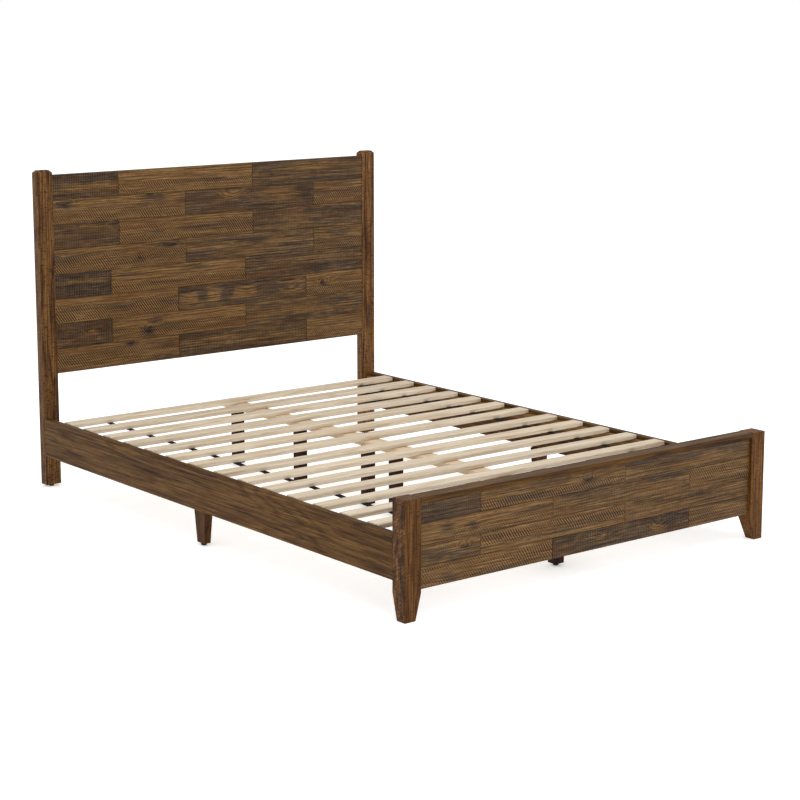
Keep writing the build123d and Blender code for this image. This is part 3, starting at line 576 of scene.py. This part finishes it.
def board_look(board, x, z, seed):
    """Tone, slanted and upright marks, ring phase and strength, and stain at a point of a board."""
    tone = board.tone
    phase = z / 10.0 + 1.3 * noise.noise(Vector((x / 420.0, z / 90.0, seed)))
    phase += 0.35 * noise.noise(Vector((x / 110.0, z / 30.0, seed + 5.0)))
    figure = 0.35
    for patch in board.patches:
        middle_x, middle_z, half_length, half_height, change = patch
        tone += 1.35 * change * bell((x, z), patch)
        wide = bell((x, z), (middle_x, middle_z, half_length * 1.5, half_height * 1.8))
        if change <= OVAL_CHANGE and half_length < OVAL_HALF_LENGTH:
            phase += 2.5 * wide
            figure = max(figure, 0.95 * wide)
        else:
            phase += change * wide
    diag = 0.0
    if board.hatch:
        low, high = board.hatch
        wave = 7.0 * noise.noise(Vector((x / 70.0, seed, 0.0)))
        inside = min((z - low + wave) / 8.0 + 0.5, (high + wave - z) / 8.0 + 0.5)
        diag = board.diag * min(max(inside, 0.0), 1.0)
    dark = min(max(tone, 0.0), 1.0)
    kerf = (0.18 + board.kerf) * (0.4 + 0.6 * dark) * (1.0 - 0.8 * diag)
    stain = 0.0
    for knot in board.knots:
        middle_x, middle_z, half_length, half_height = knot
        stain = max(stain, 0.8 * bell((x, z), knot))
        near = bell((x, z), (middle_x, middle_z, half_length * 2.2, half_height * 2.2))
        phase += 2.5 * near
        figure = max(figure, 1.1 * near)
    return dark, diag, kerf, phase, figure, stain


class Row(NamedTuple):
    """Cross-section of a row of boards and where its front face stands, in millimetres."""

    low: float
    high: float
    has_tongue: bool
    has_groove: bool
    face_y: float
    thickness: float


def spread(low, high, step):
    """Evenly spaced values from low to high, about step apart, both ends included."""
    count = max(1, round((high - low) / step))
    return [low + (high - low) * number / count for number in range(count + 1)]


def plank_outline(row):
    """Cross-section as (depth behind the face, height); front edges rounded over."""
    low, high, thickness = row.low, row.high, row.thickness
    ease = [(1.1, 0.0), (0.45, 0.2), (0.12, 0.6)]
    outline = [(depth, low + up) for depth, up in ease]
    outline += [(0.0, low + 1.4)] + [(0.0, z) for z in spread(low + 3.2, high - 3.2, 4.5)]
    outline += [(0.0, high - 1.4)]
    outline += [(depth, high - up) for depth, up in reversed(ease)]
    middle = thickness / 2
    if row.has_tongue:
        half, top = TONGUE_THICKNESS / 2, high + TONGUE_HEIGHT
        outline += [(middle - half, high), (middle - half, top), (middle + half, top),
                    (middle + half, high)]
    outline += [(thickness, high)]
    outline += [(thickness, z) for z in reversed(spread(low, high, 20.0)[1:-1])]
    outline += [(thickness, low)]
    if row.has_groove:
        half, top = TONGUE_THICKNESS / 2 + TONGUE_CLEARANCE, low + TONGUE_HEIGHT + TONGUE_CLEARANCE
        outline += [(middle + half, low), (middle + half, top), (middle - half, top),
                    (middle - half, low)]
    return outline


def sweep_faces(first, stations, size, flipped=False):
    """Sides and both ends of an outline of size points, repeated at each station.

    first is the sweep's first vertex. flipped turns the faces round, for an outline that runs the
    other way.
    """
    faces = []
    for station in range(stations - 1):
        start = first + station * size
        for number in range(size):
            a, b = start + number, start + (number + 1) % size
            faces.append((a, a + size, b + size, b) if flipped else (a, b, b + size, a + size))
    near_end = tuple(first + number for number in range(size))
    far_end = tuple((stations - 1) * size + vertex for vertex in near_end)
    if flipped:
        return faces + [near_end, far_end[::-1]]
    return faces + [near_end[::-1], far_end]


def add_piece(name, vertices, faces, material):
    """New smooth-shaded mesh object in the scene."""
    mesh = bpy.data.meshes.new(name)
    mesh.from_pydata(vertices, [], faces)
    mesh.materials.append(material)
    for polygon in mesh.polygons:
        polygon.use_smooth = True
    piece = bpy.data.objects.new(name, mesh)
    bpy.context.scene.collection.objects.link(piece)
    return piece


def make_board(vertices, faces, looks, board, span, row, seed):
    """Add one board to a row's mesh: an outline swept along x, its face slightly uneven."""
    left, right = span
    outline = plank_outline(row)
    ends = [left, left + 0.25, left + 0.8, left + 2.0]
    stations = ends + spread(left + 5, right - 5, 5.0) + [left + right - x for x in reversed(ends)]
    offset = Vector((0.173 * seed, 0.37 * seed % 5.0, 0.119 * seed))
    proud = 0.35 * noise.noise(Vector((seed * 3.1, 0.5, 0.5)))
    first = len(vertices)
    for x in stations:
        from_end = min(x - left, right - x)
        rounding = 1.1 * max(0.0, 1.0 - from_end / 1.4) ** 2
        for depth, z in outline:
            from_edge = min(z - row.low, row.high - z, from_end)
            worn = 0.0
            if depth < 2.0:
                rough = noise.noise(Vector((x / 22.0, z / 9.0, seed)))
                chip = max(0.0, noise.noise(Vector((x / 9.0, z / 9.0, seed + 40.0))) - 0.25)
                near_edge = max(0.0, 1.0 - from_edge / 5.0)
                worn = 0.22 + 0.2 * rough + rounding + 1.6 * chip * near_edge + proud
            vertices.append((x * MM, (row.face_y + depth + worn) * MM, z * MM))
            *look, stain = board_look(board, x, min(max(z, row.low), row.high), seed)
            dirt = 0.3 + 0.5 * noise.noise(Vector((x / 30.0, z / 8.0, seed + 20.0)))
            rim = max(0.0, 1.0 - max(0.0, from_edge) / 3.2)
            looks.append((*look, max(stain, dirt * rim), offset))
    faces.extend(sweep_faces(first, len(stations), len(outline)))


def make_row(node, boards, joints, row, seed):
    """One row of three boards as a single piece that stands for the row's CAD node."""
    ends = [-PANEL_HALF_SPAN, *joints, PANEL_HALF_SPAN]
    vertices, faces, looks = [], [], []
    for number, (left, right) in enumerate(zip(ends, ends[1:])):
        span = (left + BUTT_GAP / 2, right - BUTT_GAP / 2)
        make_board(vertices, faces, looks, boards[number], span, row, seed + number * 1.7)
    piece = add_piece(node + "_boards", vertices, faces, plank_wood)
    mesh = piece.data
    for index, name in enumerate(("tone", "diag", "kerf", "phase", "figure", "stain")):
        layer = mesh.attributes.new(name, "FLOAT", "POINT")
        layer.data.foreach_set("value", [look[index] for look in looks])
    layer = mesh.attributes.new("board_shift", "FLOAT_VECTOR", "POINT")
    layer.data.foreach_set("vector", [value for look in looks for value in look[-1]])
    mesh.set_sharp_from_angle(angle=math.radians(50))
    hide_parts(node)
    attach(piece, "frame")


def make_panel(prefix, table, row_height, bottom, face_y, thickness, shifted_rows, first_seed):
    """All rows of a panel, from the top down; the butt joints alternate from row to row."""
    rows = len(table)
    for number, boards in enumerate(table):
        low = bottom + (rows - 1 - number) * row_height
        row = Row(low, low + row_height - ROW_GAP, has_tongue=number > 0,
                  has_groove=number < rows - 1, face_y=face_y, thickness=thickness)
        joint = ODD_ROW_JOINT if number % 2 == 0 else EVEN_ROW_JOINT
        if number < shifted_rows:
            joint += UPPER_ROWS_SHIFT
        make_row(f"{prefix}_plank_row_{number + 1}", boards, [joint, joint + PLANK_LENGTH], row,
                 11.3 * number + first_seed)


make_panel("headboard", HEADBOARD, row_height=85.4, bottom=393.5, face_y=975.5, thickness=20.0,
           shifted_rows=4, first_seed=0)
make_panel("footboard", FOOTBOARD, row_height=61.4, bottom=82.5, face_y=-998.5, thickness=18.0,
           shifted_rows=0, first_seed=100)

# ------------------------------------------------------------------ webbing straps and staples
SLATS_PER_ROLL = 7
SLAT_WIDTH = 50.0
SLAT_UNDERSIDE = 228.5
DECK_MIDDLE_Y = 9.5
MIDDLE_GAP_HALF_PITCH = 74.0    # from the deck's middle to the nearest slat's middle
STRAP_X = 542.0
STRAP_WIDTH = 22.0
STRAP_THICKNESS = 1.0
STRAP_GAP = 0.1
STRAP_SAG = 2.2
STRAP_TAIL = 47.5               # past the edge of the slat next to the middle of the bed
STRAP_END_MARGIN = 6.0          # inside the edge of the slat at the far end of the roll
STAPLE_WIRE_RADIUS = 0.45
STAPLE_OFFSET = 9.0             # from the slat's middle, along the bed
STAPLE_WIDTH = 11.0
STAPLE_PATH = [(0.0, 1.6), (0.0, 0.2), (0.35, -0.35), (1.0, -0.5),      # (across, up)
               (10.0, -0.5), (10.65, -0.35), (STAPLE_WIDTH, 0.2), (STAPLE_WIDTH, 1.6)]


def slat_middles(direction):
    """Where a roll's slats stand along the bed, from the middle of the bed outwards."""
    return [DECK_MIDDLE_Y + direction * (MIDDLE_GAP_HALF_PITCH + SLAT_PITCH * number)
            for number in range(SLATS_PER_ROLL)]


def strap_height(y, middles):
    """Top of the strap: flat under each slat, sagging a little between slats."""
    under_slat = SLAT_UNDERSIDE - STRAP_GAP
    past_slat = min(abs(y - middle) for middle in middles) - SLAT_WIDTH / 2
    if past_slat <= 0:
        return under_slat
    half_free_span = 39.0
    return under_slat - STRAP_SAG * math.sin(min(past_slat / half_free_span, 1.0) * math.pi / 2) ** 2


def make_straps(roll, direction):
    """Both webbing straps of a roll: thin ribbons with raised edges, as one piece."""
    middles = slat_middles(direction)
    near = middles[0] - direction * (SLAT_WIDTH / 2 + STRAP_TAIL)
    far = middles[-1] + direction * (SLAT_WIDTH / 2 - STRAP_END_MARGIN)
    places = spread(min(near, far), max(near, far), 4.0)
    half = STRAP_WIDTH / 2
    outline = [(-half, -0.55), (-half, -0.15), (-half + 0.8, 0.0), (-half + 2.0, -0.12), (0.0, -0.16),
               (half - 2.0, -0.12), (half - 0.8, 0.0), (half, -0.15), (half, -0.55),
               (half - 0.6, -0.95), (0.0, -STRAP_THICKNESS), (-half + 0.6, -0.95)]
    vertices, faces = [], []
    for side in (-1, 1):
        first = len(vertices)
        for y in places:
            top = strap_height(y, middles)
            wander = 0.9 * noise.noise(Vector((y / 160.0, side * 3.0, direction)))
            for across, down in outline:
                x = side * STRAP_X + across + wander
                vertices.append((x * MM, y * MM, (top + down) * MM))
        faces.extend(sweep_faces(first, len(places), len(outline), flipped=True))
    piece = add_piece(f"webbing_{roll}", vertices, faces, webbing)
    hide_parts(f"slat_straps_{roll}_roll")
    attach(piece, f"slat_roll_{roll}")


def add_staple(vertices, faces, left, y, strap_bottom):
    """One staple of six-sided wire, its legs pointing up through the strap into the slat."""
    first = len(vertices)
    for number, (across, up) in enumerate(STAPLE_PATH):
        before = STAPLE_PATH[max(number - 1, 0)]
        after = STAPLE_PATH[min(number + 1, len(STAPLE_PATH) - 1)]
        run = Vector((after[0] - before[0], after[1] - before[1])).normalized()
        for turn in range(6):
            angle = turn * math.pi / 3
            out = STAPLE_WIRE_RADIUS * math.cos(angle)
            sideways = STAPLE_WIRE_RADIUS * math.sin(angle)
            x = left + across - run.y * out
            z = strap_bottom + up + run.x * out
            vertices.append((x * MM, (y + sideways) * MM, z * MM))
    faces.extend(sweep_faces(first, len(STAPLE_PATH), 6))


def make_staples(roll, direction):
    """Two wire staples through each strap into each slat, as one piece for the whole roll."""
    vertices, faces = [], []
    strap_bottom = SLAT_UNDERSIDE - STRAP_GAP - STRAP_THICKNESS
    for middle in slat_middles(direction):
        for side in (-1, 1):
            for shift in (-STAPLE_OFFSET, STAPLE_OFFSET):
                y = middle + shift + 1.5 * noise.noise(Vector((middle, side, shift)))
                add_staple(vertices, faces, side * STRAP_X - STAPLE_WIDTH / 2, y, strap_bottom)
    piece = add_piece(f"staples_{roll}", vertices, faces, zinc)
    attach(piece, f"slat_roll_{roll}")


for roll, direction in (("head", 1), ("foot", -1)):
    make_straps(roll, direction)
    make_staples(roll, direction)

# ------------------------------------------------------------------ camera, floor and light
def make_camera():
    """Long lens from the front left, a little above the headboard."""
    data = bpy.data.cameras.new("camera")
    data.lens = 92.6
    data.sensor_width = 36.0
    data.shift_y = -0.05
    data.dof.use_dof = False
    camera = bpy.data.objects.new("camera", data)
    camera.location = (-4.0696, -5.2045, 1.6971)
    camera.rotation_euler = (math.radians(90 - 10.23), 0.0, math.radians(-38.49))
    bpy.context.scene.collection.objects.link(camera)
    bpy.context.scene.camera = camera


def make_floor():
    """Plain pale studio floor that glows faintly, so it shows almost white."""
    mesh = bpy.data.meshes.new("floor")
    mesh.from_pydata([(-60, -60, 0), (60, -60, 0), (60, 60, 0), (-60, 60, 0)], [], [(0, 1, 2, 3)])
    g = Graph("floor")
    g.shader.inputs["Base Color"].default_value = (0.9, 0.9, 0.9, 1.0)
    g.shader.inputs["Roughness"].default_value = 0.9
    g.shader.inputs["Emission Color"].default_value = (1.0, 1.0, 1.0, 1.0)
    g.shader.inputs["Emission Strength"].default_value = 0.36
    mesh.materials.append(g.material)
    floor = bpy.data.objects.new("floor", mesh)
    bpy.context.scene.collection.objects.link(floor)


def make_light(name, place, target, size, power):
    """Rectangular soft light that faces a target."""
    data = bpy.data.lights.new(name, "AREA")
    data.shape = "RECTANGLE"
    data.size, data.size_y = size
    data.energy = power
    lamp = bpy.data.objects.new(name, data)
    lamp.location = place
    direction = Vector(target) - Vector(place)
    lamp.rotation_euler = direction.to_track_quat("-Z", "Y").to_euler()
    bpy.context.scene.collection.objects.link(lamp)


def make_world():
    """Even white surroundings."""
    world = bpy.data.worlds.new("studio")
    world.use_nodes = True
    background = world.node_tree.nodes["Background"]
    background.inputs["Color"].default_value = (1.0, 1.0, 1.0, 1.0)
    background.inputs["Strength"].default_value = 1.0
    bpy.context.scene.world = world


make_camera()
make_floor()
make_light("overhead_softbox", (0.0, -0.6, 4.2), (0.0, 0.0, 0.2), (4.0, 5.0), 60.0)
make_light("front_softbox", (-1.0, -6.0, 2.6), (0.0, 0.0, 0.4), (4.0, 2.5), 30.0)
make_light("left_softbox", (-6.0, -1.5, 2.4), (0.0, 0.0, 0.4), (3.5, 2.5), 8.0)
make_world()
bpy.context.scene.view_settings.view_transform = "Standard"
